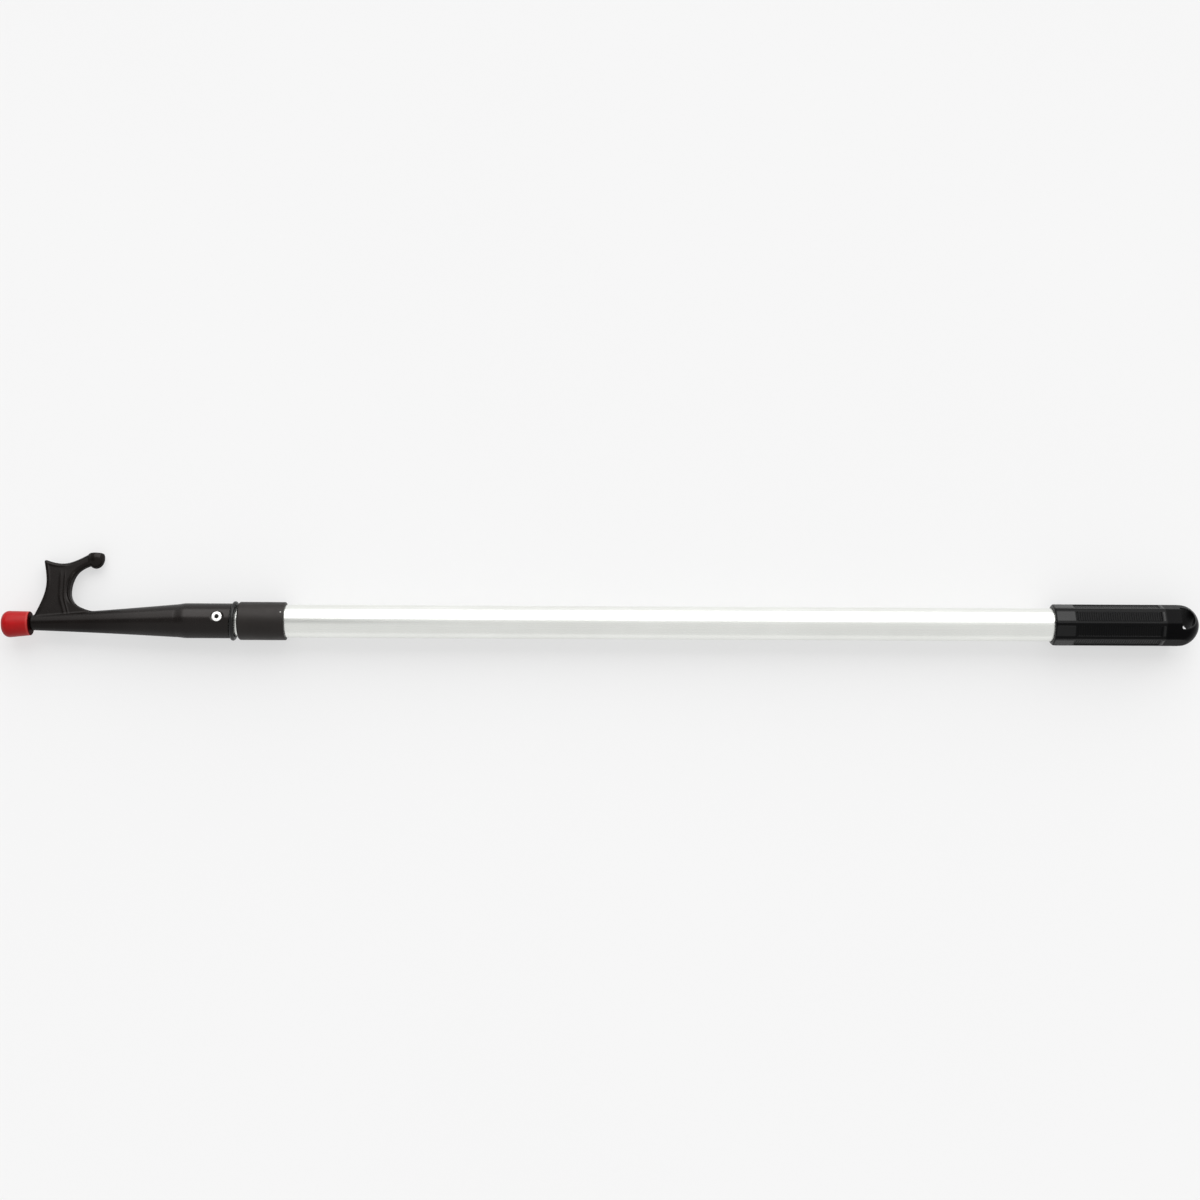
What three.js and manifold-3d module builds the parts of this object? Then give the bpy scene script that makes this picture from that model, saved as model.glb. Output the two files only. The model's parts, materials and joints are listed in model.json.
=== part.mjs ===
// A telescoping boat hook, retracted and lying on its side.
//
// Units are millimetres. The pole runs along X with the hook head at -X and the grip at +X, the hook
// reaches towards +Y, and +Z is up. The origin ends up at the middle of the foot of the whole object.
//
// While the pieces are made, X = 0 is the middle of the pole and Y = Z = 0 is the axis of its tubes.
// A direction square to the pole is an angle from +Z (up) towards +Y (the side that the hook is on).

import * as THREE from 'three';
import { mergeVertices } from 'three/addons/utils/BufferGeometryUtils.js';
import Module from 'manifold-3d';

const manifold = await Module();
manifold.setup();

// ---- Driving dimensions ----

const roundSides = 32;            // sides of the tubes and of everything that fits in them
const smallSides = 12;            // sides of pins, rivets and screws
const gap = 0.3;                  // room between pieces that touch or slide
const pinGap = 0.2;               // room round pins and rivets
const flushDrop = 0.1;            // how far a flush piece stays below the face that it is flush with
const smallChamfer = 0.5;         // broken edges of moulded and turned pieces
const weld = 1;                   // how far bodies that are joined or cut run into each other
const holeInside = 5;             // cross holes start this far from the pole's axis
const holeOutside = 20;           // and end here, outside everything

const noseX = -515.8;             // front end of the tip cap
const buttX = 517;                // rear end of the grip

const innerTubeRadius = 12.7;     // 1 inch tube
const outerTubeRadius = 14.29;    // 1 1/8 inch tube
const tubeWall = 1.2;
const innerTubeFrontX = -362;
const innerTubeRearX = 438;
const outerTubeFrontX = -305;
const outerTubeRearX = 492;

// Tip cap, pushed on the spigot at the nose of the head
const capLength = 24.4;
const capFrontRadius = 11.8;
const capRearRadius = 10.25;
const capFaceRadius = 5.6;        // flat part of its front face
const capEdgeRadius = 1;          // rounding of its rear edge
const capDrop = 4;                // how far the middle of its face is below the pole's axis
const capDroop = THREE.MathUtils.degToRad(2.4);
const spigotRadius = 5;
const spigotLength = 17;
const spigotRoot = 3;             // how far it goes on into the cone

// Hook head
const hookLean = THREE.MathUtils.degToRad(11.6);  // lets the ball end rest on the ground
const ferruleRadius = 15.1;
const ferruleFrontX = -358;
const ferruleRearX = -318;        // on its axis; the end itself leans with the bumper ring
const coneRearRadius = 14.1;
const coneFrontRadius = 6.5;
const coneFlareLength = 9;
const coneDroop = THREE.MathUtils.degToRad(1.05);
const coneCoreFrontX = -470;      // front end of the hollow in the cone
const coneCoreFrontRadius = 3.5;
const coneCoreRearRadius = 10.6;
const throatX = -457.8;           // deepest point of the hook's throat
const webThickness = 9;
const webEdgeDepth = 1.2;         // chamfer of the web's edges, across and along its faces
const webEdgeInset = 0.5;
const ballReach = 54.6;           // pole axis to the middle of the ball end
const ballX = throatX + 19.6;
const ballLengthRadius = 7.3;     // its half sizes along the pole, along the reach and across the web
const ballReachRadius = 9;
const ballWidthRadius = 6.5;
const ballFlatReach = 58.9;       // the flat on top of the ball

// Rivets through the ferrule and the inner tube
const rivetX = -328.4;
const rivetAngle = THREE.MathUtils.degToRad(4);   // in the head's own frame
const rivetHeadRadius = 4.25;
const rivetHeadHeight = 1.3;
const rivetRadius = 2.4;
const rivetBulbRadius = 3.4;
const rivetBulbTop = 10.7;        // distances from the pole axis
const rivetBottom = 8.8;
const spotFaceRadius = 5.2;
const spotFaceLevel = 14.5;
const mandrelRadius = 1.45;
const mandrelHeadRadius = 2.2;
const mandrelTop = 14.4;
const mandrelBottom = 7.4;

// Bumper ring on the inner tube
const ringX = -315.8;
const ringRadius = 15.35;
const ringSection = 1.8;
const ringTilt = THREE.MathUtils.degToRad(3.7);   // its +Y side is the further back

// Collar on the mouth of the outer tube, and its pin
const collarFrontX = -311.7;
const collarRearX = -271.1;
const collarRadius = 16.5;
const collarChamfer = 1.3;
const collarRearEdge = 0.6;
const collarPinX = -273.8;
const collarPinAngle = THREE.MathUtils.degToRad(29);
const collarPinRadius = 0.8;
const collarPinStand = 0.25;      // how far its head stands out of the collar

// Floats and plugs
const frontFloatX = [-318, -250];
const floatRadius = 11.2;
const rearPlugFrontX = 481;
const rearPlugWall = 2;
const rearPlugFlange = 1.6;

// Twist lock on the rear end of the inner tube
const plugFrontX = 406;
const plugShoulderLength = 4;
const plugCoreRadius = 7;
const plugCoreLength = 14;
const sealX = 411.5;
const sealRingRadius = 10.25;
const sealSection = 1.05;
const plugPinX = 430;
const plugPinRadius = 1.5;
const guideRingLength = 7.5;
const guideRingRadius = 12.8;
const guideJournalRadius = 9;
const guideSlit = 2.4;
const rearShoulderRadius = 10.6;
const rearShoulderLength = 2.5;
const camOffset = 1;              // how far the cam's journal is off the pole axis
const camJournalRadius = 6;
const camRadius = 11.5;
const camLength = 13;
const washerRadius = 9;
const washerThickness = 1.5;
const screwRadius = 2;
const screwLength = 30;
const screwHeadRadius = 4;
const screwHeadHeight = 3;
const screwSlot = 1.1;            // width and depth of the slot in its head

// Hand grip
const gripFrontX = 390.3;
const gripCornerRadius = 17.9;    // out to the rounded corners of the eight-sided section
const gripFlatRadius = 16.72;     // out to the flats
const gripEdgeRounding = 3;
const gripFrontChamfer = 2.2;
const gripTurn = THREE.MathUtils.degToRad(27.5);  // the flat that faces up and towards the hook
const gripBoreEndX = 494.4;
const domeFrontX = 498.8;
const domeFullness = [0.6, 0.46];  // how far the dome holds its width and the roundness of its tip
const padX = [391.2, 407.5];      // the smooth raised pad at the front of each flat
const padHeight = 0.35;
const padWidth = 9.6;
const padRounding = 0.5;
const panelX = [408.3, 481.8];    // the sunk, ribbed panel behind it
const endBarX = [482.5, 484.7];   // the raised bar that closes each ribbed panel
const panelDepth = 0.7;
const panelRounding = 1.5;
const hangingHoleX = 498.7;       // the flat side of the D-shaped hole
const hangingHoleLength = 12.2;
const hangingHoleHalfWidth = 9.9;
const hangingHoleCorner = 1.2;

// ---- Materials ----

function finish(colour, roughness, metalness) {
  return new THREE.MeshStandardMaterial({ color: colour, roughness, metalness });
}

const blackNylon = [0x1f1c1b, 0.5, 0];
const collarBlack = [0x2e2a28, 0.65, 0];
const gripBlack = [0x141416, 0.4, 0];
const redVinyl = [0xb01f26, 0.45, 0];
const rubberBlack = [0x161616, 0.75, 0];
const satinAluminium = [0xd6d8d2, 0.35, 1];
const whitePaint = [0xf4f4f0, 0.4, 0];
const darkSteel = [0x4a4a4c, 0.45, 1];
const zincSteel = [0xb9bbbd, 0.35, 1];
const whiteFoam = [0xe9e7df, 0.95, 0];
const naturalNylon = [0xe4dfd0, 0.5, 0];
const greyPlastic = [0x6b6e70, 0.6, 0];

// ---- Helpers ----

function piece(name, geometry, look) {
  const mesh = new THREE.Mesh(geometry, finish(...look));
  mesh.name = name;
  return mesh;
}

// Turns a closed outline of [x, radius] points about the pole axis. Seen with X to the right and the
// radius upwards, the outline runs clockwise; it may also start and end on the axis.
function turned(outline, sides = roundSides) {
  const points = outline.map(([x, radius]) => new THREE.Vector2(radius, x));
  return new THREE.LatheGeometry(points, sides).rotateZ(-Math.PI / 2);
}

function sleeve(frontX, rearX, insideRadius, outsideRadius, sides = roundSides) {
  return turned([
    [frontX, insideRadius],
    [frontX, outsideRadius],
    [rearX, outsideRadius],
    [rearX, insideRadius],
    [frontX, insideRadius],
  ], sides);
}

function rod(frontX, rearX, radius, sides = roundSides) {
  return turned([[frontX, 0], [frontX, radius], [rearX, radius], [rearX, 0]], sides);
}

// Points [x, radius] of a part of a circle, from one angle to another.
function arc(centreX, centreRadius, size, fromAngle, toAngle, steps) {
  const points = [];
  for (let step = 0; step <= steps; step += 1) {
    const angle = fromAngle + (toAngle - fromAngle) * step / steps;
    points.push([centreX + size * Math.cos(angle), centreRadius + size * Math.sin(angle)]);
  }
  return points;
}

function torus(ringRadiusOfPiece, section, sides, sectionSides) {
  return new THREE.TorusGeometry(ringRadiusOfPiece, section, sectionSides, sides).rotateY(Math.PI / 2);
}

function extruded(shape, depth, curveSegments) {
  return new THREE.ExtrudeGeometry(shape, { depth, curveSegments, bevelEnabled: false });
}

// A lathe shape made along the pole axis, stood up so that it points away from the pole at an angle.
function radial(geometry, x, angle) {
  return geometry.rotateY(-Math.PI / 2).rotateX(-angle).translate(x, 0, 0);
}

// What is cut for a pin or rivet that stands square to the pole.
function crossHole(pinRadius, x, angle, start = holeInside) {
  return radial(rod(start, holeOutside, pinRadius + pinGap, smallSides), x, angle);
}

function solid(geometry) {
  const bare = geometry.clone();
  bare.deleteAttribute('normal');
  bare.deleteAttribute('uv');
  const merged = mergeVertices(bare, 1e-4);
  const corners = merged.index.array;
  const triangles = [];
  for (let first = 0; first < corners.length; first += 3) {
    const [a, b, c] = corners.slice(first, first + 3);
    if (a !== b && b !== c && c !== a) triangles.push(a, b, c);
  }
  return new manifold.Manifold(new manifold.Mesh({
    numProp: 3,
    vertProperties: new Float32Array(merged.attributes.position.array),
    triVerts: new Uint32Array(triangles),
  }));
}

function geometryOf(body) {
  const mesh = body.getMesh();
  const geometry = new THREE.BufferGeometry();
  geometry.setAttribute('position', new THREE.BufferAttribute(mesh.vertProperties, 3));
  geometry.setIndex(new THREE.BufferAttribute(mesh.triVerts, 1));
  geometry.computeVertexNormals();
  return geometry;
}

function cut(body, ...tools) {
  return tools.reduce((left, tool) => left.subtract(solid(tool)), body);
}

// ---- Tip cap ----

// The cap and the spigot that it is pushed on share an axis that is dropped and droops a little.
function onCapAxis(geometry) {
  return geometry.rotateZ(capDroop).translate(noseX, -capDrop, 0);
}

function tipCap() {
  const noseRounding = capFrontRadius - capFaceRadius;
  const boreEnd = capLength - spigotLength - gap;
  const outline = [
    [0, 0],
    ...arc(noseRounding, capFaceRadius, noseRounding, Math.PI, Math.PI / 2, 5),
    ...arc(capLength - capEdgeRadius, capRearRadius - capEdgeRadius, capEdgeRadius, Math.PI / 2, 0, 3),
    [capLength, spigotRadius + gap],
    [boreEnd, spigotRadius + gap],
    [boreEnd, 0],
  ];
  return piece('tip_cap', onCapAxis(turned(outline)), redVinyl);
}

// ---- Hook head ----

// The flat part of the hook, drawn from the deepest point of its throat: the front edge, the horn, the
// top edge, the arm's end inside the ball and the throat.
function hookWeb() {
  const outline = new THREE.Shape();
  outline.moveTo(-30.6, 0);
  outline.lineTo(-30.6, 3.2);
  outline.bezierCurveTo(-20.4, 25, -19.9, 30.6, -24.3, 50);
  outline.quadraticCurveTo(-25, 53, -21.9, 52.1);
  outline.bezierCurveTo(-11.1, 48.4, -5.2, 47.2, 13.9, 58.3);
  outline.lineTo(19, 55);
  outline.lineTo(15, 47.9);
  outline.bezierCurveTo(5.6, 44.6, -0.9, 38.2, -0.9, 25.1);
  outline.bezierCurveTo(-0.9, 14.6, 8, 9.2, 24, 6.4);
  outline.lineTo(24, 0);
  const flatThickness = webThickness - 2 * webEdgeDepth;
  const web = new THREE.ExtrudeGeometry(outline, {
    depth: flatThickness,
    curveSegments: 9,
    bevelThickness: webEdgeDepth,
    bevelSize: webEdgeInset,
    bevelOffset: -webEdgeInset,
    bevelSegments: 1,
  });
  return web.translate(throatX, 0, -flatThickness / 2);
}

function ballEnd() {
  const ball = new THREE.SphereGeometry(1, 22, 14);
  ball.scale(ballLengthRadius, ballReachRadius, ballWidthRadius);
  ball.translate(ballX, ballReach, 0);
  const above = new THREE.BoxGeometry(4 * ballReachRadius, 2 * ballReachRadius, 4 * ballReachRadius);
  return cut(solid(ball), above.translate(ballX, ballFlatReach + ballReachRadius, 0));
}

// The cone droops about its rear end.
function onConeAxis(geometry) {
  return geometry.translate(-ferruleFrontX, 0, 0).rotateZ(coneDroop).translate(ferruleFrontX, 0, 0);
}

function headShell() {
  const ferrule = turned([
    [ferruleFrontX - weld, 0],
    [ferruleFrontX - weld, ferruleRadius - smallChamfer],
    [ferruleFrontX + weld, ferruleRadius],
    [ferruleRearX + ferruleRadius, ferruleRadius],
    [ferruleRearX + ferruleRadius, 0],
  ]);
  const coneFrontX = noseX + capLength + gap;
  const cone = onConeAxis(turned([
    [coneFrontX, 0],
    [coneFrontX, coneFrontRadius],
    [ferruleFrontX - coneFlareLength, coneRearRadius],
    [ferruleFrontX + weld, ferruleRadius - smallChamfer / 2],
    [ferruleFrontX + weld, 0],
  ]));
  const spigotFrontX = capLength - spigotLength;
  const spigot = onCapAxis(rod(spigotFrontX, capLength + spigotRoot, spigotRadius, smallSides));
  return solid(ferrule).add(solid(cone)).add(solid(spigot));
}

// What the inner tube and the hollow cone take out of the head, and all that is behind the ferrule.
function headSocket() {
  const boreRadius = innerTubeRadius + gap;
  const bore = rod(innerTubeFrontX - gap, ferruleRearX + 2 * ferruleRadius, boreRadius);
  const core = onConeAxis(turned([
    [coneCoreFrontX, 0],
    [coneCoreFrontX, coneCoreFrontRadius],
    [innerTubeFrontX + weld, coneCoreRearRadius],
    [innerTubeFrontX + weld, 0],
  ]));
  const size = 4 * ferruleRadius;
  const behind = new THREE.BoxGeometry(size, size, size).translate(size / 2, 0, 0);
  return [bore, core, behind.rotateZ(-ringTilt).translate(ferruleRearX, 0, 0)];
}

function rivetDirections() {
  return { near: rivetAngle, far: rivetAngle + Math.PI };
}

function hookHead() {
  const whole = headShell().add(solid(hookWeb())).add(ballEnd());
  const holes = Object.values(rivetDirections()).flatMap((angle) => [
    crossHole(rivetRadius, rivetX, angle),
    radial(rod(spotFaceLevel, holeOutside, spotFaceRadius, smallSides), rivetX, angle),
  ]);
  return piece('hook_head', geometryOf(cut(whole, ...headSocket(), ...holes)), blackNylon);
}

// ---- Rivets ----

function rivet(side, angle) {
  const headBottom = spotFaceLevel + pinGap;
  const holeRadius = mandrelRadius + pinGap;
  const body = turned([
    [rivetBottom, holeRadius],
    [rivetBottom, rivetBulbRadius - smallChamfer],
    [rivetBottom + smallChamfer, rivetBulbRadius],
    [rivetBulbTop, rivetBulbRadius],
    [rivetBulbTop, rivetRadius],
    [headBottom, rivetRadius],
    [headBottom, rivetHeadRadius],
    [headBottom + smallChamfer, rivetHeadRadius],
    [headBottom + rivetHeadHeight * 0.8, rivetHeadRadius * 0.65],
    [headBottom + rivetHeadHeight, holeRadius + smallChamfer],
    [headBottom + rivetHeadHeight - smallChamfer, holeRadius],
    [rivetBottom, holeRadius],
  ], smallSides);
  const stub = turned([
    [mandrelBottom, 0],
    [mandrelBottom + smallChamfer, mandrelHeadRadius],
    [rivetBottom - pinGap, mandrelHeadRadius],
    [rivetBottom - pinGap, mandrelRadius],
    [mandrelTop, mandrelRadius],
    [mandrelTop + smallChamfer, 0],
  ], smallSides);
  return [
    piece(`head_rivet_${side}`, radial(body, rivetX, angle), whitePaint),
    piece(`rivet_mandrel_${side}`, radial(stub, rivetX, angle), darkSteel),
  ];
}

// ---- Pole ----

function innerTube() {
  const tube = solid(sleeve(innerTubeFrontX, innerTubeRearX, innerTubeRadius - tubeWall, innerTubeRadius));
  const rivetHoles = Object.values(rivetDirections()).map((angle) => (
    crossHole(rivetRadius, rivetX, angle + hookLean)
  ));
  const pinHole = crossHole(plugPinRadius, plugPinX, 0, -holeOutside);
  return piece('inner_tube', geometryOf(cut(tube, ...rivetHoles, pinHole)), satinAluminium);
}

function outerTube() {
  const tube = solid(sleeve(outerTubeFrontX, outerTubeRearX, outerTubeRadius - tubeWall, outerTubeRadius));
  const pinHole = crossHole(collarPinRadius, collarPinX, collarPinAngle);
  return piece('outer_tube', geometryOf(cut(tube, pinHole)), satinAluminium);
}

function bumperRing() {
  const ring = torus(ringRadius, ringSection, roundSides, 12).rotateZ(-ringTilt).translate(ringX, 0, 0);
  return piece('bumper_ring', ring, rubberBlack);
}

function frontCollar() {
  const body = turned([
    [collarFrontX, innerTubeRadius + gap],
    [collarFrontX, collarRadius - collarChamfer],
    [collarFrontX + collarChamfer, collarRadius],
    [collarRearX - collarRearEdge, collarRadius],
    [collarRearX, collarRadius - collarRearEdge],
    [collarRearX, outerTubeRadius + gap],
    [outerTubeFrontX - gap, outerTubeRadius + gap],
    [outerTubeFrontX - gap, innerTubeRadius + gap],
    [collarFrontX, innerTubeRadius + gap],
  ]);
  const pinHole = crossHole(collarPinRadius, collarPinX, collarPinAngle);
  return piece('front_collar', geometryOf(cut(solid(body), pinHole)), collarBlack);
}

function collarPin() {
  const pin = turned([
    [outerTubeRadius - tubeWall / 2, 0],
    [outerTubeRadius - tubeWall / 2, collarPinRadius],
    [collarRadius, collarPinRadius],
    [collarRadius + collarPinStand, collarPinRadius * 0.6],
    [collarRadius + collarPinStand, 0],
  ], smallSides);
  return piece('collar_pin', radial(pin, collarPinX, collarPinAngle), zincSteel);
}

function frontFloatPlug() {
  return piece('front_float_plug', rod(...frontFloatX, floatRadius), whiteFoam);
}

function rearTubePlug() {
  const barrelRadius = outerTubeRadius - tubeWall - gap;
  const flangeFrontX = outerTubeRearX + gap;
  const cup = turned([
    [flangeFrontX, 0],
    [flangeFrontX, barrelRadius - rearPlugWall],
    [rearPlugFrontX, barrelRadius - rearPlugWall],
    [rearPlugFrontX, barrelRadius - smallChamfer],
    [rearPlugFrontX + rearPlugWall, barrelRadius],
    [flangeFrontX, barrelRadius],
    [flangeFrontX, outerTubeRadius],
    [flangeFrontX + rearPlugFlange, outerTubeRadius],
    [flangeFrontX + rearPlugFlange, 0],
  ]);
  return piece('rear_tube_plug', cup, greyPlastic);
}

// ---- Twist lock ----

const shoulderX = innerTubeRearX + gap;
const guideX = shoulderX + plugShoulderLength;
const rearShoulderX = guideX + guideRingLength + 2 * gap;
const journalX = rearShoulderX + rearShoulderLength;
const camX = journalX + gap;
const journalEndX = camX + camLength + gap;
const washerX = journalEndX + gap;
const screwHeadX = washerX + washerThickness + gap;

function lockPlug() {
  const barrelRadius = innerTubeRadius - tubeWall - gap;
  const sealGroove = sealSection + pinGap;
  const flushRadius = innerTubeRadius - flushDrop;
  const barrel = turned([
    [plugFrontX + plugCoreLength, 0],
    [plugFrontX + plugCoreLength, plugCoreRadius],
    [plugFrontX, plugCoreRadius],
    [plugFrontX, barrelRadius - smallChamfer],
    [plugFrontX + smallChamfer, barrelRadius],
    [sealX - sealGroove, barrelRadius],
    [sealX - sealGroove, guideJournalRadius],
    [sealX + sealGroove, guideJournalRadius],
    [sealX + sealGroove, barrelRadius],
    [shoulderX, barrelRadius],
    [shoulderX, flushRadius],
    [guideX, flushRadius],
    [guideX, guideJournalRadius],
    [rearShoulderX, guideJournalRadius],
    [rearShoulderX, rearShoulderRadius],
    [journalX, rearShoulderRadius],
    [journalX, 0],
  ]);
  const journal = rod(journalX - weld, journalEndX, camJournalRadius).translate(0, 0, camOffset);
  const screwEndX = screwHeadX - screwLength;
  const screwHole = rod(screwEndX - weld, journalEndX + weld, screwRadius + pinGap, smallSides);
  const pinHole = crossHole(plugPinRadius, plugPinX, 0, -holeOutside);
  const plug = cut(
    solid(barrel).add(solid(journal)),
    screwHole.translate(0, 0, camOffset),
    pinHole,
  );
  return piece('lock_plug', geometryOf(plug), naturalNylon);
}

function plugSeal() {
  const ring = torus(sealRingRadius, sealSection, roundSides, 10).translate(sealX, 0, 0);
  return piece('plug_seal', ring, rubberBlack);
}

function plugPin() {
  const halfLength = innerTubeRadius - flushDrop;
  const pin = rod(-halfLength, halfLength, plugPinRadius, smallSides);
  return piece('plug_pin', radial(pin, plugPinX, 0), zincSteel);
}

function guideRing() {
  const frontX = guideX + gap;
  const ring = sleeve(frontX, frontX + guideRingLength, guideJournalRadius + gap, guideRingRadius);
  const slit = new THREE.BoxGeometry(2 * guideRingLength, guideSlit, guideRingRadius);
  slit.translate(frontX + guideRingLength / 2, 0, -guideRingRadius);
  return piece('guide_ring', geometryOf(cut(solid(ring), slit)), naturalNylon);
}

function lockCam() {
  const cam = rod(camX, camX + camLength, camRadius);
  const bore = rod(camX - weld, camX + camLength + weld, camJournalRadius + gap).translate(0, 0, camOffset);
  return piece('lock_cam', geometryOf(cut(solid(cam), bore)), greyPlastic);
}

function camWasher() {
  const washer = sleeve(washerX, washerX + washerThickness, screwRadius + pinGap, washerRadius);
  return piece('cam_washer', washer.translate(0, 0, camOffset), zincSteel);
}

function camScrew() {
  const endX = screwHeadX + screwHeadHeight;
  const screw = turned([
    [screwHeadX - screwLength, 0],
    [screwHeadX - screwLength + 2 * smallChamfer, screwRadius],
    [screwHeadX, screwRadius],
    [screwHeadX, screwHeadRadius],
    [screwHeadX + screwHeadHeight * 0.6, screwHeadRadius],
    [endX, screwHeadRadius * 0.7],
    [endX, 0],
  ], smallSides).translate(0, 0, camOffset);
  const slot = new THREE.BoxGeometry(2 * screwSlot, 4 * screwHeadRadius, screwSlot);
  slot.translate(endX, 0, camOffset);
  return piece('cam_screw', geometryOf(cut(solid(screw), slot)), zincSteel);
}

// ---- Hand grip ----

// An eight-sided prism along the pole with rounded corners, one flat facing the grip's turn angle.
function gripPrism() {
  const outline = new THREE.Shape();
  const sharpRadius = gripFlatRadius / Math.cos(Math.PI / 8);
  const roundingCentre = sharpRadius - gripEdgeRounding / Math.cos(Math.PI / 8);
  for (let corner = 0; corner < 8; corner += 1) {
    const middle = gripTurn + (corner + 0.5) * Math.PI / 4;
    const centre = [roundingCentre * Math.cos(middle), roundingCentre * Math.sin(middle)];
    outline.absarc(...centre, gripEdgeRounding, middle - Math.PI / 8, middle + Math.PI / 8, false);
  }
  const length = buttX - gripFrontX + 2 * weld;
  const prism = extruded(outline, length, 3);
  return aimedAlongPole(prism).translate(gripFrontX - weld, 0, 0);
}

// Takes a shape drawn with its first axis towards +Z and its second towards +Y, and extruded along
// the third, and lays the extrusion along the pole.
function aimedAlongPole(geometry) {
  const turn = new THREE.Matrix4().makeBasis(
    new THREE.Vector3(0, 0, 1),
    new THREE.Vector3(0, 1, 0),
    new THREE.Vector3(-1, 0, 0),
  );
  geometry.applyMatrix4(turn).computeBoundingBox();
  return geometry.translate(-geometry.boundingBox.min.x, 0, 0);
}

// Front chamfer, straight sides and dome, as one turned envelope that the prism is trimmed to.
function gripEnvelope() {
  const [fullness, tip] = domeFullness;
  const domeLength = buttX - domeFrontX;
  const dome = new THREE.CubicBezierCurve(
    new THREE.Vector2(domeFrontX, gripCornerRadius),
    new THREE.Vector2(domeFrontX + fullness * domeLength, gripCornerRadius),
    new THREE.Vector2(buttX, tip * gripCornerRadius),
    new THREE.Vector2(buttX, 0),
  );
  return turned([
    [gripFrontX, 0],
    [gripFrontX, gripCornerRadius - gripFrontChamfer],
    [gripFrontX + gripFrontChamfer, gripCornerRadius],
    ...dome.getPoints(9).map((point) => [point.x, point.y]),
  ]);
}

function facetAngles() {
  return Array.from({ length: 8 }, (_, facet) => gripTurn + facet * Math.PI / 4);
}

// A block standing on a flat of the grip, between two distances from the pole axis.
function facetBlock([frontX, rearX], rounding, bottom, top, angle) {
  const length = rearX - frontX;
  const block = new THREE.Shape();
  const across = padWidth / 2 - rounding;
  const along = length / 2 - rounding;
  block.absarc(along, across, rounding, 0, Math.PI / 2, false);
  block.absarc(-along, across, rounding, Math.PI / 2, Math.PI, false);
  block.absarc(-along, -across, rounding, Math.PI, 1.5 * Math.PI, false);
  block.absarc(along, -across, rounding, 1.5 * Math.PI, 2 * Math.PI, false);
  return extruded(block, top - bottom, 2).translate((frontX + rearX) / 2, 0, bottom).rotateX(-angle);
}

function hangingHole() {
  const outline = new THREE.Shape();
  const corner = hangingHoleCorner;
  outline.moveTo(corner, -hangingHoleHalfWidth);
  outline.lineTo(0, -hangingHoleHalfWidth + corner);
  outline.lineTo(0, hangingHoleHalfWidth - corner);
  outline.lineTo(corner, hangingHoleHalfWidth);
  outline.absellipse(
    corner, 0,
    hangingHoleLength - corner, hangingHoleHalfWidth,
    Math.PI / 2, -Math.PI / 2, true,
  );
  const depth = 4 * gripCornerRadius;
  return extruded(outline, depth, 12).translate(hangingHoleX, 0, -depth / 2).rotateX(-gripTurn);
}

function handGrip() {
  const base = gripFlatRadius - weld;
  const raised = gripFlatRadius + padHeight;
  let grip = solid(gripPrism()).intersect(solid(gripEnvelope()));
  for (const angle of facetAngles()) {
    const pad = facetBlock(padX, padRounding, base, raised, angle);
    const bar = facetBlock(endBarX, padRounding, base, raised, angle);
    const panel = facetBlock(panelX, panelRounding, gripFlatRadius - panelDepth, raised + weld, angle);
    grip = grip.add(solid(pad)).add(solid(bar)).subtract(solid(panel));
  }
  const bore = rod(gripFrontX - weld, gripBoreEndX, outerTubeRadius + gap);
  return piece('hand_grip', geometryOf(cut(grip, bore, hangingHole())), gripBlack);
}

// ---- Assembly ----

const head = new THREE.Group();
head.rotation.x = -hookLean;
head.add(tipCap(), hookHead());
for (const [side, angle] of Object.entries(rivetDirections())) head.add(...rivet(side, angle));

const boatHook = new THREE.Group();
boatHook.add(
  head,
  innerTube(),
  frontFloatPlug(),
  bumperRing(),
  lockPlug(),
  plugSeal(),
  plugPin(),
  guideRing(),
  lockCam(),
  camWasher(),
  camScrew(),
  outerTube(),
  frontCollar(),
  collarPin(),
  rearTubePlug(),
  handGrip(),
);

const extent = new THREE.Box3().setFromObject(boatHook, true);
const foot = extent.getCenter(new THREE.Vector3()).setZ(extent.min.z);
boatHook.position.copy(foot.negate());

export default boatHook;
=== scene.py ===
"""A telescoping boat hook, retracted and lying on its side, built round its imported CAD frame.

Every piece is made in millimetres in its own frame, whose X runs along the pole from a place that the
CAD node gives, and whose Y and Z start on the pole's axis. place() then puts it in the row frame, in
metres.
"""
import json
import math

import bmesh
import bpy
import numpy as np
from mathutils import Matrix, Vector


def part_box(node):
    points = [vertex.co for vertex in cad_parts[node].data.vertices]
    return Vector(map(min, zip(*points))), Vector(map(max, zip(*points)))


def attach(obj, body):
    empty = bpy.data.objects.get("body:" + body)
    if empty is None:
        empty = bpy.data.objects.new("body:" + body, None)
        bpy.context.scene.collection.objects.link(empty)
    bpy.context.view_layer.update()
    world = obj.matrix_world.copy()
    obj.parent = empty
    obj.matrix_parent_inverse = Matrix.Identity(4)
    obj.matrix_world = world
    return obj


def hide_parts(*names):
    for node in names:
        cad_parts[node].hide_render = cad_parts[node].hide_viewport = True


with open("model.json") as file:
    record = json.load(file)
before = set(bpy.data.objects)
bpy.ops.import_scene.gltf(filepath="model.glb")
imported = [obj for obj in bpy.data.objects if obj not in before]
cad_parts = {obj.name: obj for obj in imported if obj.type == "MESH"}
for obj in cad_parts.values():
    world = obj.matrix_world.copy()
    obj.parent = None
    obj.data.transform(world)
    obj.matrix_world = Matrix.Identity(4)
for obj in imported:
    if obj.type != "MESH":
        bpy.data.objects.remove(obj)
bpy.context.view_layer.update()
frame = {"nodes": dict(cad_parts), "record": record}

# ---- Sizes and places, from the frame ----

MM = 0.001


def span(node):
    """The front and rear ends of a CAD node along the pole, in millimetres."""
    low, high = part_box(node)
    return low.x / MM, high.x / MM


def across(node):
    """The widest radius of a CAD node that is round about the pole, in millimetres."""
    low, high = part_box(node)
    return (high.y - low.y) / 2 / MM


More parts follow.
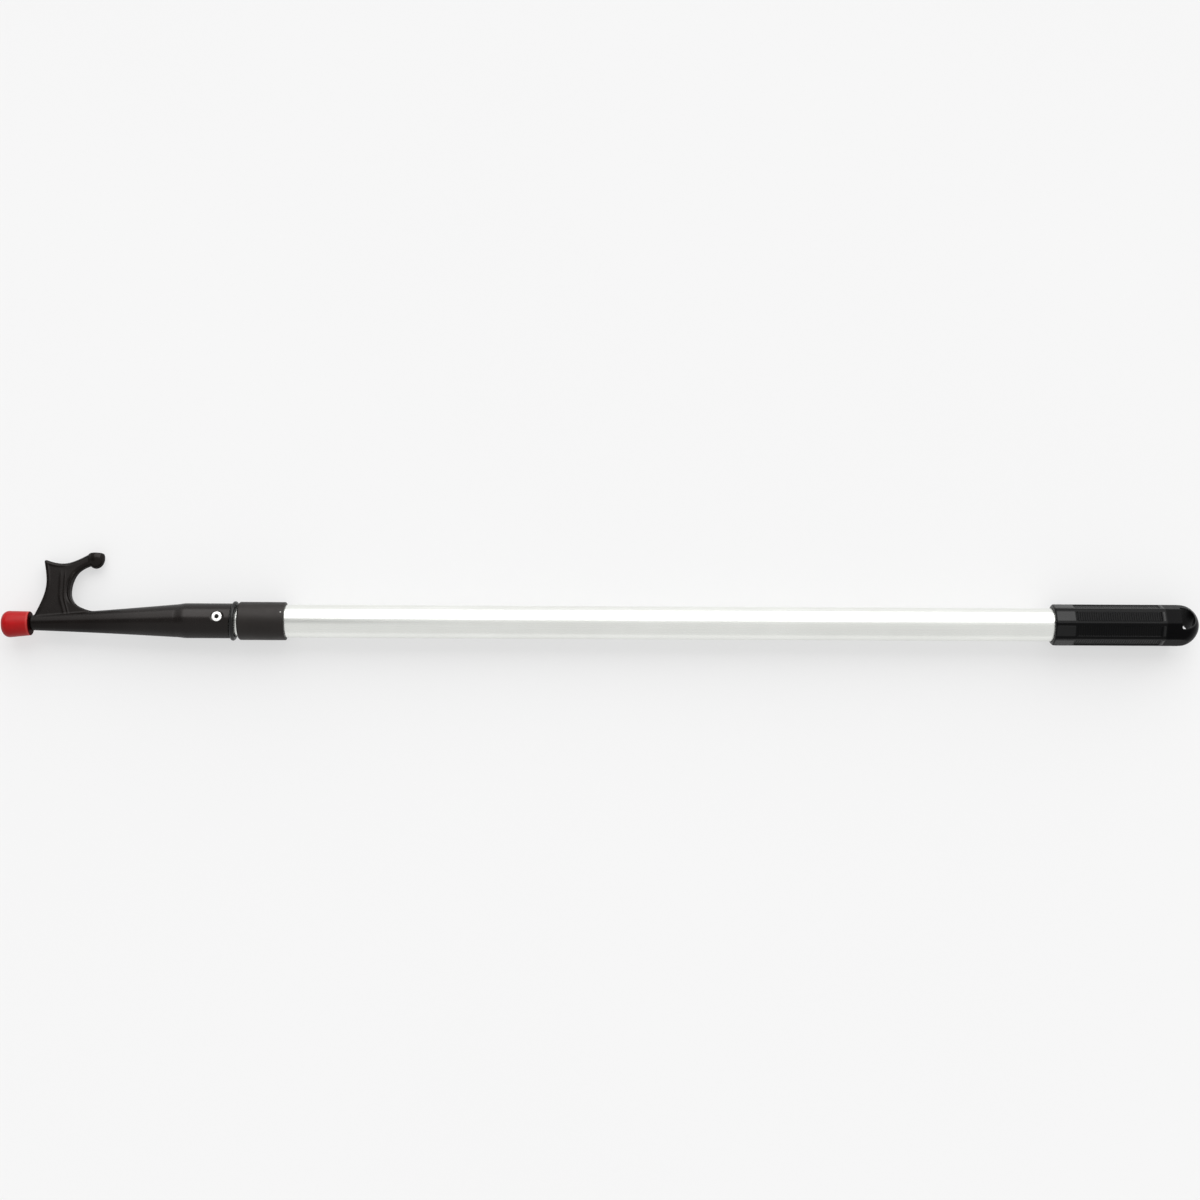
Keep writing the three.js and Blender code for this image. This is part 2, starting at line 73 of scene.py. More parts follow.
tube_low, tube_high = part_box("outer_tube")
AXIS_Y = (tube_low.y + tube_high.y) / 2
AXIS_Z = (tube_low.z + tube_high.z) / 2

OUTER_RADIUS = across("outer_tube")
INNER_RADIUS = across("inner_tube")
TUBE_WALL = 1.2
FIT = 0.12                         # room round a tube in the piece that holds it
FERRULE_DEPTH = 44.0               # how far the inner tube goes into the head
HEAD_REAR = span("inner_tube")[0] + FERRULE_DEPTH
GRIP_FRONT, GRIP_REAR = span("hand_grip")

HOOK_LEAN = math.radians(11.6)
GRIP_TURN = math.radians(27.5)
SIDES = 128
CREASE = math.radians(35)          # a made piece is shaded sharp where it turns by more than this


# ---- Mesh helpers ----

def place(points, start, lean=0.0):
    """Millimetres in a piece's own frame to metres in the row frame. A lean turns +Y towards -Z."""
    points = np.asarray(points, float)
    x, y, z = points.T
    turned_y = y * math.cos(lean) + z * math.sin(lean)
    turned_z = z * math.cos(lean) - y * math.sin(lean)
    return np.stack([(x + start) * MM, turned_y * MM + AXIS_Y, turned_z * MM + AXIS_Z], axis=1)


def turn_normals(normals, lean):
    x, y, z = normals.T
    return np.stack([
        x,
        y * math.cos(lean) + z * math.sin(lean),
        z * math.cos(lean) - y * math.sin(lean),
    ], axis=1)


def make(name, points, faces):
    """A new object from row-frame points and faces."""
    mesh = bpy.data.meshes.new(name)
    mesh.from_pydata([tuple(point) for point in points], [], [tuple(face) for face in faces])
    mesh.update()
    shape = bmesh.new()
    shape.from_mesh(mesh)
    bmesh.ops.recalc_face_normals(shape, faces=shape.faces)
    shape.to_mesh(mesh)
    shape.free()
    mesh.shade_smooth()
    mesh.set_sharp_from_angle(angle=CREASE)
    made = bpy.data.objects.new(name, mesh)
    bpy.context.scene.collection.objects.link(made)
    return made


def keep_values(made, name, values):
    """Keeps a number with each point of an object, for its material."""
    kept = made.data.attributes.new(name, "FLOAT", "POINT")
    kept.data.foreach_set("value", values.astype(np.float32))


def rounded(corners, steps=5):
    """Points of an outline of [x, radius, rounding] corners, each turned by an arc of its rounding."""
    corners = [np.array(corner, float) for corner in corners]
    points = []
    for i, corner in enumerate(corners):
        rounding = corner[2]
        here = corner[:2]
        if rounding == 0 or i in (0, len(corners) - 1):
            points.append(here)
            continue
        before = corners[i - 1][:2] - here
        after = corners[i + 1][:2] - here
        before /= np.linalg.norm(before)
        after /= np.linalg.norm(after)
        half = math.acos(np.clip(before @ after, -1, 1)) / 2
        reach = rounding / math.tan(half)
        start = here + before * reach
        end = here + after * reach
        middle = here + (before + after) / np.linalg.norm(before + after) * rounding / math.sin(half)
        a, b = start - middle, end - middle
        sweep = math.pi - 2 * half
        for step in range(steps + 1):
            part = step / steps
            points.append(middle + (
                math.sin((1 - part) * sweep) * a + math.sin(part * sweep) * b) / math.sin(sweep))
    return np.array(points)


def lathe(outline, sides=SIDES, closed=True):
    """Points and faces of an outline of [x, radius] points turned about X.

    A point on the axis stays a single one.
    """
    points, rings, faces = [], [], []
    angles = np.arange(sides) * 2 * math.pi / sides
    aside, up = np.cos(angles), np.sin(angles)
    for x, radius in outline:
        if radius < 1e-6:
            rings.append([len(points)] * sides)
            points.append([x, 0, 0])
        else:
            rings.append(list(range(len(points), len(points) + sides)))
            points.extend(np.stack([np.full(sides, x), radius * aside, radius * up], 1))
    pairs = list(zip(rings, rings[1:]))
    if closed:
        pairs.append((rings[-1], rings[0]))
    for first, second in pairs:
        for i in range(sides):
            j = (i + 1) % sides
            face = list(dict.fromkeys([first[i], first[j], second[j], second[i]]))
            if len(face) > 2:
                faces.append(face)
    return np.array(points, float), faces


def bezier(points, steps):
    """Points along a Bezier curve with one or two handles, without its last one."""
    t = np.arange(steps)[:, None] / steps
    points = np.array(points, float)
    if len(points) == 3:
        weights = [(1 - t) ** 2, 2 * t * (1 - t), t ** 2]
    else:
        weights = [(1 - t) ** 3, 3 * t * (1 - t) ** 2, 3 * t ** 2 * (1 - t), t ** 3]
    return sum(weight * point for weight, point in zip(weights, points))


# ---- Field helpers: a field is negative inside a shape, and near it measures millimetres ----

def join(a, b, blend):
    """Both shapes, with a fillet of about that size between them."""
    part = np.clip(0.5 + 0.5 * (b - a) / blend, 0, 1)
    return b + (a - b) * part - blend * part * (1 - part)


def overlap(a, b, blend):
    """What two shapes share, with rounded edges."""
    return -join(-a, -b, blend)


def carve(a, b, blend):
    """The first shape without the second."""
    return overlap(a, -b, blend)


def ease(value):
    value = np.clip(value, 0, 1)
    return value * value * (3 - 2 * value)


def fade(value, start, full):
    """0 before the start and 1 past the full place, with a soft change between them."""
    return ease((value - start) / (full - start))


def rounded_edge(a, b, rounding):
    """What two shapes share, their meeting edge a true arc."""
    past_a, past_b = a + rounding, b + rounding
    corner = np.hypot(np.maximum(past_a, 0), np.maximum(past_b, 0))
    return np.minimum(np.maximum(past_a, past_b), 0) + corner - rounding


def round_distance(offsets, halves):
    """Distance to an ellipse or an ellipsoid, from offsets to its middle and its half widths."""
    parts = [offset / half for offset, half in zip(offsets, halves)]
    away = np.sqrt(sum(part ** 2 for part in parts))
    steep = np.sqrt(sum((part / half) ** 2 for part, half in zip(parts, halves)))
    return away * (away - 1) / np.maximum(steep, 1e-6)


def line_distance(x, y, line):
    """Distance to an open line of points."""
    x, y = np.broadcast_arrays(x, y)
    nearest = np.full(x.shape, np.inf)
    for (ax, ay), (bx, by) in zip(line, line[1:]):
        dx, dy = bx - ax, by - ay
        part = np.clip(((x - ax) * dx + (y - ay) * dy) / (dx * dx + dy * dy), 0, 1)
        nearest = np.minimum(nearest, (x - ax - part * dx) ** 2 + (y - ay - part * dy) ** 2)
    return np.sqrt(nearest)


def outline_distance(x, y, outline):
    """Distance to a closed outline, negative inside it."""
    x, y = np.broadcast_arrays(x, y)
    closed = [*outline, outline[0]]
    inside = np.zeros(x.shape, bool)
    for (ax, ay), (bx, by) in zip(closed, closed[1:]):
        if ay != by:
            crosses = (y >= ay) != (y >= by)
            inside ^= crosses & (x < ax + (y - ay) * (bx - ax) / (by - ay))
    return np.where(inside, -1, 1) * line_distance(x, y, closed)


def skin(field, low, high, step):
    """Points, quads and normals of the closed skin where a field is zero.

    Each cell that the skin crosses gets one point, which then moves onto the skin itself.
    """
    counts = [int(math.ceil((b - a) / s)) + 1 for a, b, s in zip(low, high, step)]
    axes = [a + s * np.arange(n) for a, s, n in zip(low, step, counts)]
    x, y, z = axes[0][:, None, None], axes[1][None, :, None], axes[2][None, None, :]
    values = np.broadcast_to(field(x, y, z), counts)
    cells = [n - 1 for n in counts]
    size = cells[0] * cells[1] * cells[2]
    total = np.zeros((3, size))
    hits = np.zeros(size)
    quads = []
    for axis in range(3):
        second = [slice(None)] * 3
        second[axis] = slice(1, None)
        first = [slice(None)] * 3
        first[axis] = slice(None, -1)
        start, end = values[tuple(first)], values[tuple(second)]
        crossing = (start < 0) != (end < 0)
        index = np.argwhere(crossing)
        begin, finish = start[crossing], end[crossing]
        point = index.astype(float)
        point[:, axis] += begin / (begin - finish)
        b, c = (axis + 1) % 3, (axis + 2) % 3
        ring = []
        for shift_b, shift_c in ((-1, -1), (0, -1), (0, 0), (-1, 0)):
            cell = index.copy()
            cell[:, b] += shift_b
            cell[:, c] += shift_c
            flat = np.ravel_multi_index(tuple(cell.T), cells)
            ring.append(flat)
            hits += np.bincount(flat, minlength=size)
            for k in range(3):
                total[k] += np.bincount(flat, weights=point[:, k], minlength=size)
        quad = np.stack(ring, axis=1)
        quad[begin > 0] = quad[begin > 0][:, ::-1]
        quads.append(quad)
    used = np.flatnonzero(hits)
    number = np.zeros(size, int)
    number[used] = np.arange(len(used))
    points = np.array(low) + np.array(step) * (total[:, used] / hits[used]).T
    for _ in range(3):
        value, slope = slopes(field, points)
        move = -slope * (value / np.maximum((slope ** 2).sum(1), 1e-3))[:, None]
        reach = 0.5 * min(step) / np.maximum(np.linalg.norm(move, axis=1), 1e-9)
        points = points + move * np.minimum(reach, 1)[:, None]
    slope = slopes(field, points)[1]
    normals = slope / np.maximum(np.linalg.norm(slope, axis=1), 1e-9)[:, None]
    return points, number[np.concatenate(quads)], normals


def slopes(field, points):
    """A field's value and gradient at some points."""
    x, y, z = points.T
    reach = 0.04
    slope = np.stack([
        field(x + reach, y, z) - field(x - reach, y, z),
        field(x, y + reach, z) - field(x, y - reach, z),
        field(x, y, z + reach) - field(x, y, z - reach),
    ], axis=1) / (2 * reach)
    return field(x, y, z), slope


def make_skin(name, skinned, start, lean=0.0):
    """An object from skin()'s result, shaded with the field's own normals."""
    points, quads, normals = skinned
    mesh = bpy.data.meshes.new(name)
    mesh.vertices.add(len(points))
    mesh.vertices.foreach_set("co", place(points, start, lean).astype(np.float32).ravel())
    mesh.loops.add(quads.size)
    mesh.loops.foreach_set("vertex_index", quads.astype(np.int32).ravel())
    mesh.polygons.add(len(quads))
    mesh.polygons.foreach_set("loop_start", np.arange(0, quads.size, 4, dtype=np.int32))
    mesh.update(calc_edges=True)
    mesh.validate()
    mesh.shade_smooth()
    mesh.normals_split_custom_set_from_vertices(turn_normals(normals, lean).astype(np.float32))
    made = bpy.data.objects.new(name, mesh)
    bpy.context.scene.collection.objects.link(made)
    return made


# ---- Hook head ----

# Places along the pole are from the ferrule's rear end, so in the head they are negative.

FERRULE_RADIUS = 15.1
FERRULE_LENGTH = 40.0
CONE_REAR_RADIUS = 14.1
CONE_FRONT_RADIUS = 6.5
CONE_FRONT = -172.9
CONE_FLARE = 9.0
CONE_DROOP = math.radians(1.05)
CONE_HOLLOW = 0.35                 # how far the cone's side is drawn in at its middle
CORE_FRONT = -152.0                # front end of the hollow in the cone
CORE_RADII = (3.5, 10.6)
NOSE = -197.8
THROAT = -139.8
FERRULE_TILT = math.radians(3.7)   # its rear end is out of square, as the bumper ring against it is
WEB_HALF = 4.5
WEB_EDGE = 1.2                     # rounding of the web's edges
ARM_EDGE = 3.4                     # and of the arm that carries the ball
ARM_FOOT = (33, 45)                # how far out the one turns into the other
ARM_FRONT = (-14, -2)              # and how far along from the throat
WEB_FILLET = 0.9
BEAD = (0.55, 1.3, 0.6)            # height, distance from the throat and width of the web's bead
GROOVE = (0.6, 2.5, 0.8)           # and of the groove beside it
TRIM_FOOT = (13, 22)               # how far out these two start
LINE = (0.22, 0.0, 0.6)            # height, place and width of the fine line, across its own course
RIDGE = (0.17, -3.4, 1.3)          # and of the soft ridge ahead of it
LINE_AT = -5.7                     # where the line runs, along from the throat
LINE_SWING = 5.0                   # how far its foot swings back from there
LINE_SWING_SPAN = (1, 23)          # and how far out the swing starts and ends
LINE_TOP = (46, 38)                # how far out the line ends
RIM = (0.25, 2.4, 0.8)             # height, distance from the edge and width of the low rim
RIM_CLEAR = (10, 14)               # how far from the throat the rim starts
BALL_CENTRE = (19.6, 54.6)
BALL_HALF = (7.3, 9.0, 6.5)
BALL_FLAT = 58.9
RIVET_AT = -10.4                   # ahead of the ferrule's rear end
RIVET_ANGLE = math.radians(4)
SPOT_RADIUS = 5.1
SPOT_LEVEL = 14.5
RIVET_HOLE_RADIUS = 2.55
RIVET_HOLE_START = 5               # from the pole's axis
CAP_DROP = 4.0                     # how far the middle of the cap's face is below the pole's axis
CAP_DROOP = math.radians(2.4)
SPIGOT_RADIUS = 5.0
SPIGOT_ENDS = (7.8, 30)            # from the cap's face; the rear one is inside the cone

THROAT_LOWER = [(24, 6.4), (8, 9.2), (-0.9, 14.6), (-0.9, 25.1)]
THROAT_UPPER = [(-0.9, 25.1), (-0.9, 38.2), (5.6, 44.6), (15.0, 47.9)]
FRONT_EDGE = [(-30.6, 3.2), (-20.4, 25.0), (-19.9, 30.6), (-24.3, 50.0)]
HORN = [(-24.3, 50.0), (-25.0, 53.0), (-21.9, 52.1)]
TOP_EDGE = [(-21.9, 52.1), (-11.1, 48.4), (-5.2, 47.2), (13.9, 58.3)]

throat_line = np.concatenate([bezier(THROAT_LOWER, 16), bezier(THROAT_UPPER, 16), [THROAT_UPPER[-1]]])
web_outline = np.concatenate([
    [(FRONT_EDGE[0][0], 0)],
    bezier(FRONT_EDGE, 14),
    bezier(HORN, 5),
    bezier(TOP_EDGE, 16),
    [TOP_EDGE[-1], (19, 55)],
    throat_line[::-1],
    [(THROAT_LOWER[0][0], 0)],
])


def swell(value, middle, width):
    return np.exp(-((value - middle) / width) ** 2)


def bump(value, height, middle, width):
    return height * swell(value, middle, width)


def web_thickness(along, y, depth, edge, arm):
    """Half the web's thickness, by distances from the throat (along, depth), the axis (y) and the edge.

    A bead and a groove follow the throat, down to where it turns towards the cone. A fine line and a
    soft ridge run down beside them into the cone, and a low rim follows the other edges.
    """
    bead = bump(depth, *BEAD) - bump(depth, *GROOVE)
    past_line = along - LINE_AT - LINE_SWING * (1 - fade(y, *LINE_SWING_SPAN))
    line = bump(past_line, *LINE) + bump(past_line, *RIDGE)
    rim = bump(edge, *RIM) * fade(depth, *RIM_CLEAR)
    trim = bead * fade(y, *TRIM_FOOT) + line * fade(y, *LINE_TOP) + rim
    return WEB_HALF + trim * (1 - arm) - 0.1 * arm


def hook_web(x, y, z):
    along = x - THROAT
    inward = outline_distance(along, y, web_outline)
    depth = line_distance(along, y, throat_line)
    arm = fade(y, *ARM_FOOT) * fade(along, *ARM_FRONT)
    face = np.abs(z) - web_thickness(along, y, depth, -inward, arm)
    return rounded_edge(inward, face, WEB_EDGE + (ARM_EDGE - WEB_EDGE) * arm)


def hook_ball(x, y, z):
    ball = round_distance((x - THROAT - BALL_CENTRE[0], y - BALL_CENTRE[1], z), BALL_HALF)
    return overlap(ball, y - BALL_FLAT, 0.8)


def cone_radius(x):
    flare_front = -FERRULE_LENGTH - CONE_FLARE
    part = np.clip((x - CONE_FRONT) / (flare_front - CONE_FRONT), 0, 1)
    side = CONE_FRONT_RADIUS + (CONE_REAR_RADIUS - CONE_FRONT_RADIUS) * part
    side = side - CONE_HOLLOW * np.sin(math.pi * part)
    flare = ease((x - flare_front) / (CONE_FLARE + 1.5))
    return side + (FERRULE_RADIUS - CONE_REAR_RADIUS) * flare


def head_shell(x, y, z):
    drop = np.minimum(x + FERRULE_LENGTH, 0) * math.tan(CONE_DROOP)
    side = np.hypot(y - drop, z) - cone_radius(x)
    shell = rounded_edge(side, CONE_FRONT - x, 0.8)
    return rounded_edge(shell, x - 0.2 - y * math.tan(FERRULE_TILT), 0.3)


def cap_frame(x, y):
    """Distances along and aside from the cap's own drooping axis, from the middle of its face."""
    dx, dy = x - NOSE, y + CAP_DROP
    along = dx * math.cos(CAP_DROOP) + dy * math.sin(CAP_DROOP)
    aside = dy * math.cos(CAP_DROOP) - dx * math.sin(CAP_DROOP)
    return along, aside


def spigot(x, y, z):
    along, aside = cap_frame(x, y)
    side = np.hypot(aside, z) - SPIGOT_RADIUS
    front, rear = SPIGOT_ENDS
    return rounded_edge(rounded_edge(side, front - along, 0.8), along - rear, 0.5)


def head_socket(x, y, z):
    bore = np.maximum(np.hypot(y, z) - INNER_RADIUS - FIT, -FERRULE_DEPTH - 0.3 - x)
    drop = np.minimum(x + FERRULE_LENGTH, 0) * math.tan(CONE_DROOP)
    part = np.clip((x - CORE_FRONT) / (-FERRULE_DEPTH - CORE_FRONT), 0, 1)
    core = np.hypot(y - drop, z) - CORE_RADII[0] - (CORE_RADII[1] - CORE_RADII[0]) * part
    core = np.maximum(np.maximum(core, CORE_FRONT - x), x + FERRULE_DEPTH - 1)
    return np.minimum(bore, core)


def rivet_seats(x, y, z):
    up = z * math.cos(RIVET_ANGLE) + y * math.sin(RIVET_ANGLE)
    aside = np.hypot(x - RIVET_AT, y * math.cos(RIVET_ANGLE) - z * math.sin(RIVET_ANGLE))
    depth = SPOT_LEVEL - np.abs(up)
    seat = overlap((aside - SPOT_RADIUS + depth) * math.sqrt(0.5), depth, 0.3)
    hole = np.maximum(aside - RIVET_HOLE_RADIUS, RIVET_HOLE_START - np.abs(up))
    return np.minimum(seat, hole)


def head_field(x, y, z):
    hook = join(hook_web(x, y, z), hook_ball(x, y, z), 0.9)
    whole = join(head_shell(x, y, z), hook, WEB_FILLET)
    whole = np.minimum(whole, spigot(x, y, z))
    whole = carve(whole, head_socket(x, y, z), 0.5)
    return carve(whole, rivet_seats(x, y, z), 0.4)


EDGE_SCUFF = 0.9
FRONT_SCUFF = 0.4
FRONT_SCUFF_SPAN = (-70, -130)     # where it starts and where it is full


def head_scuff(points, normals):
    """How dull each point of the head's skin is, from 0 to 1: its edges and front half are rubbed."""
    upright = np.minimum(np.abs(normals[:, 2]), np.abs(turn_normals(normals, HOOK_LEAN)[:, 2]))
    edge = EDGE_SCUFF * (1 - ease(upright / 0.7))
    front = FRONT_SCUFF * fade(points[:, 0], *FRONT_SCUFF_SPAN)
    return 1 - (1 - edge) * (1 - front)


HEAD_LOW = (-191, -17.5, -17.5)    # a box round the whole head
HEAD_HIGH = (2.6, 62, 17.5)
HEAD_STEP = 0.6
head_skin = skin(head_field, HEAD_LOW, HEAD_HIGH, (HEAD_STEP, HEAD_STEP, HEAD_STEP))
head = make_skin("hook_head_moulding", head_skin, HEAD_REAR, HOOK_LEAN)
keep_values(head, "scuff", head_scuff(head_skin[0], head_skin[2]))

# ---- Tip cap ----

CAP_LENGTH = 24.4
CAP_FRONT_RADIUS = 11.8
CAP_REAR_RADIUS = 10.25
CAP_FACE_RADIUS = 5.6
CAP_LIP = 0.6                      # length of the bevel at its rear end
CAP_RIM = 2.0                      # length of the band ahead of it that has a painted highlight
CAP_BORE_RADIUS = SPIGOT_RADIUS + 0.15
CAP_BORE_END = 7.4                 # from the cap's face


def tip_cap():
    corner = CAP_FRONT_RADIUS - CAP_FACE_RADIUS
    rim_end = CAP_LENGTH - CAP_LIP
    rim_radius = CAP_REAR_RADIUS + 0.12
    taper = (CAP_FRONT_RADIUS - rim_radius) / rim_end
    rim = [rim_end - CAP_RIM * part for part in (1, 0.75, 0.5, 0.25)]
    outline = rounded([
        (0, 0, 0),
        (0, CAP_FRONT_RADIUS, corner),
        *((at, CAP_FRONT_RADIUS - taper * at, 0) for at in rim),
        (rim_end, rim_radius, 0.3),
        (CAP_LENGTH, CAP_REAR_RADIUS - 0.5, 0.6),
        (CAP_LENGTH, CAP_BORE_RADIUS, 0.3),
        (CAP_BORE_END, CAP_BORE_RADIUS, 0.3),
        (CAP_BORE_END, 0, 0),
    ], steps=10)
    points, faces = lathe(outline, closed=False)
    x, y, z = points.T
    along = x * math.cos(CAP_DROOP) - y * math.sin(CAP_DROOP) + NOSE
    up = x * math.sin(CAP_DROOP) + y * math.cos(CAP_DROOP) - CAP_DROP
    made = make("tip_cap_moulding", place(np.stack([along, up, z], 1), HEAD_REAR, HOOK_LEAN), faces)
    # Painted shade: the cap's rear bevel and face are marked to turn near black, with little shine.
    keep_values(made, "painted_rear_shade", fade(x, rim_end - 0.1, rim_end + 0.2))
    # Painted highlight: a paler band just ahead of the rear rim.
    keep_values(made, "painted_rim_highlight", swell(x, rim_end - CAP_RIM / 2, CAP_RIM / 3))
    return made


cap = tip_cap()

# ---- Rivets ----

RIVET_HEAD_RADIUS = 4.25
RIVET_HEAD_HEIGHT = 1.3
RIVET_SHANK_RADIUS = 2.4
RIVET_BORE = 2.0
RIVET_BULB_RADIUS = 3.4
RIVET_BULB_TOP = 10.7              # this and the tops and bottoms below are from the pole's axis
RIVET_BOTTOM = 8.8
MANDREL_RADIUS = 1.9
MANDREL_HEAD_RADIUS = 2.2
MANDREL_TOP = 14.6
MANDREL_BOTTOM = 7.4
MANDREL_LOBES = 5                  # of its broken end


def stand_up(points, at, angle):
    """Turns a shape made along X so that it points away from the pole at an angle from +Z towards +Y."""
    out, a, b = points.T
    return np.stack([
        at - a,
        out * math.sin(angle) + b * math.cos(angle),
        out * math.cos(angle) - b * math.sin(angle),
    ], axis=1)


def rivet(side, angle):
    seat = SPOT_LEVEL + 0.05
    top = seat + RIVET_HEAD_HEIGHT
    outline = rounded([
        (RIVET_BOTTOM, RIVET_BORE, 0),
        (RIVET_BOTTOM, RIVET_BULB_RADIUS, 0.5),
        (RIVET_BULB_TOP, RIVET_BULB_RADIUS, 0.5),
        (RIVET_BULB_TOP + 0.2, RIVET_SHANK_RADIUS, 0.3),
        (seat, RIVET_SHANK_RADIUS, 0.2),
        (seat, RIVET_HEAD_RADIUS, 0.25),
        (seat + 0.55, RIVET_HEAD_RADIUS, 0.35),
        (top, RIVET_HEAD_RADIUS * 0.55, 1.2),
        (top, RIVET_BORE, 0.3),
        (RIVET_BOTTOM, RIVET_BORE, 0),
    ])
    points, faces = lathe(outline[:-1], 48)
    body = make(f"rivet_{side}", place(stand_up(points, RIVET_AT, angle), HEAD_REAR, HOOK_LEAN), faces)
    stub_outline = rounded([
        (MANDREL_BOTTOM, 0, 0),
        (MANDREL_BOTTOM, MANDREL_HEAD_RADIUS, 0.8),
        (RIVET_BOTTOM - 0.1, MANDREL_HEAD_RADIUS, 0.2),
        (RIVET_BOTTOM - 0.1, MANDREL_RADIUS, 0),
        (MANDREL_TOP, MANDREL_RADIUS, 0.3),
        (MANDREL_TOP + 0.3, 0.5, 0.3),
        (MANDREL_TOP - 0.2, 0, 0),
    ])
    points, faces = lathe(stub_outline, 40, closed=False)
    out, a, b = points.T
    turn = np.arctan2(b, a)
    lobes = 1 - 0.12 * (1 + np.cos(MANDREL_LOBES * turn)) * fade(out, RIVET_BOTTOM, RIVET_BOTTOM + 2)
    points = np.stack([out, a * lobes, b * lobes], 1)
    stub = make(f"mandrel_{side}", place(stand_up(points, RIVET_AT, angle), HEAD_REAR, HOOK_LEAN), faces)
    return body, stub


rivets = {
    "near": rivet("near", RIVET_ANGLE),
    "far": rivet("far", RIVET_ANGLE + math.pi),
}

# ---- Tubes ----

def tube(name, node, radius):
    front, rear = span(node)
    length = rear - front
    outline = rounded([
        (length / 2, radius - TUBE_WALL, 0),
        (0, radius - TUBE_WALL, 0.25),
        (0, radius, 0.35),
        (length, radius, 0.35),
        (length, radius - TUBE_WALL, 0.25),
        (length / 2, radius - TUBE_WALL, 0),
    ], steps=4)
    points, faces = lathe(outline[:-1])
    return make(name, place(points, front), faces)


inner_tube = tube("inner_tube_drawn", "inner_tube", INNER_RADIUS)
outer_tube = tube("outer_tube_drawn", "outer_tube", OUTER_RADIUS)

# ---- Bumper ring ----

RING_SECTION = 1.8
RING_SIDES = 40


def bumper_ring():
    front, rear = span("bumper_ring")
    radius = across("bumper_ring") - RING_SECTION
    angles = np.arange(RING_SIDES) * 2 * math.pi / RING_SIDES
    section = RING_SECTION * np.stack([np.cos(angles), np.sin(angles)], 1)
    points, faces = lathe(section + [0, radius])
    x, y, z = points.T
    leaning_x = x * math.cos(FERRULE_TILT) + y * math.sin(FERRULE_TILT)
    leaning_y = y * math.cos(FERRULE_TILT) - x * math.sin(FERRULE_TILT)
    leaning = np.stack([leaning_x, leaning_y, z], 1)
    return make("bumper_ring_rubber", place(leaning, (front + rear) / 2), faces)


ring = bumper_ring()

# ---- Collar ----

COLLAR_CHAMFER = 1.3
PIN_RADIUS = 0.7
PIN_ANGLE = math.radians(29)
PIN_STAND = 0.25                   # how far its head stands out of the collar


def front_collar():
    front, rear = span("front_collar")
    length = rear - front
    radius = across("front_collar")
    mouth = span("outer_tube")[0] - front
    outline = rounded([
        (length / 3, OUTER_RADIUS + FIT, 0),
        (mouth - 0.2, OUTER_RADIUS + FIT, 0.2),
        (mouth - 0.2, INNER_RADIUS + 0.2, 0.3),
        (0, INNER_RADIUS + 0.2, 0.4),
        (0, radius - COLLAR_CHAMFER, 0.6),
        (COLLAR_CHAMFER, radius, 1.2),
        (length, radius, 0.7),
        (length, OUTER_RADIUS + FIT, 0.35),
        (length / 3, OUTER_RADIUS + FIT, 0),
    ])
    points, faces = lathe(outline[:-1])
    return make("front_collar_moulding", place(points, front), faces)


def collar_pin():
    front, rear = span("collar_pin")
    top = across("front_collar") + PIN_STAND
    outline = rounded([
        (OUTER_RADIUS - TUBE_WALL, 0, 0),
        (OUTER_RADIUS - TUBE_WALL, PIN_RADIUS, 0.2),
        (top, PIN_RADIUS, 0.4),
        (top, 0, 0),
    ])
    points, faces = lathe(outline, 32, closed=False)
    return make("collar_pin_head", place(stand_up(points, 0, PIN_ANGLE), (front + rear) / 2), faces)


collar = front_collar()
pin = collar_pin()

# ---- Hand grip ----

# Places along the pole are from the grip's front end.

GRIP_LENGTH = GRIP_REAR - GRIP_FRONT
GRIP_FLAT = 16.72                  # from the axis to the flats
GRIP_ROUNDING = 3.0
GRIP_CORNER = 17.87                # and to the rounded corners
GRIP_CHAMFER = 2.4
GRIP_BORE_END = 104.1
DOME_FRONT = 108.5
DOME_POWERS = (2.1, 1.85)          # how full the dome is, along and across
PAD = (0.9, 17.2)                  # front and rear ends of what is on each flat
END_BAR = (92.2, 94.4)
PAD_HEIGHT = 0.22
PAD_ROUNDING = 0.5
PANEL = (18.0, 91.5)
PANEL_DEPTH = 0.7
PANEL_HALF_WIDTH = 4.8
PANEL_ROUNDING = 1.5
RIB_PITCH = 2.0
RIB_HEIGHT = 0.42
HOLE_FLAT = 108.4                  # the flat side of the D-shaped hanging hole
HOLE_LENGTH = 12.2
HOLE_HALF_WIDTH = 9.9
HOLE_CORNER = 1.2                  # how far behind the flat side the middle of the round one is


def rounded_block(x, w, ends, half_width, rounding):
    """Distance to a rounded rectangle on a flat of the grip, negative inside it."""
    past_ends = np.abs(x - (ends[0] + ends[1]) / 2) - (ends[1] - ends[0]) / 2
    return rounded_edge(past_ends, np.abs(w) - half_width, rounding)


def raised_block(x, w):
    """Distance to the smooth pad or the end bar of a flat, negative inside them."""
    return np.minimum(
        rounded_block(x, w, PAD, PANEL_HALF_WIDTH, PAD_ROUNDING),
        rounded_block(x, w, END_BAR, PANEL_HALF_WIDTH, PAD_ROUNDING),
    )


def flat_level(x, w):
    """How far a flat of the grip is from the axis: a smooth pad, a sunk, ribbed panel and an end bar."""
    pad = raised_block(x, w)
    panel = rounded_block(x, w, PANEL, PANEL_HALF_WIDTH, PANEL_ROUNDING)
    ribs = RIB_HEIGHT * (0.5 + 0.5 * np.cos(2 * math.pi * (x - PANEL[0]) / RIB_PITCH)) ** 0.8
    sunk = ease(-panel / 0.6)
    return GRIP_FLAT + PAD_HEIGHT * ease(-pad / 0.5) - sunk * PANEL_DEPTH + ribs * ease(-panel / 1.2)


def on_facet(y, z):
    """Distances out from the axis and aside, both square to the nearest facet of the grip."""
    radius = np.hypot(y, z)
    turn = np.mod(np.arctan2(y, z) - GRIP_TURN + math.pi / 8, math.pi / 4) - math.pi / 8
    return radius * np.cos(turn), radius * np.sin(turn)


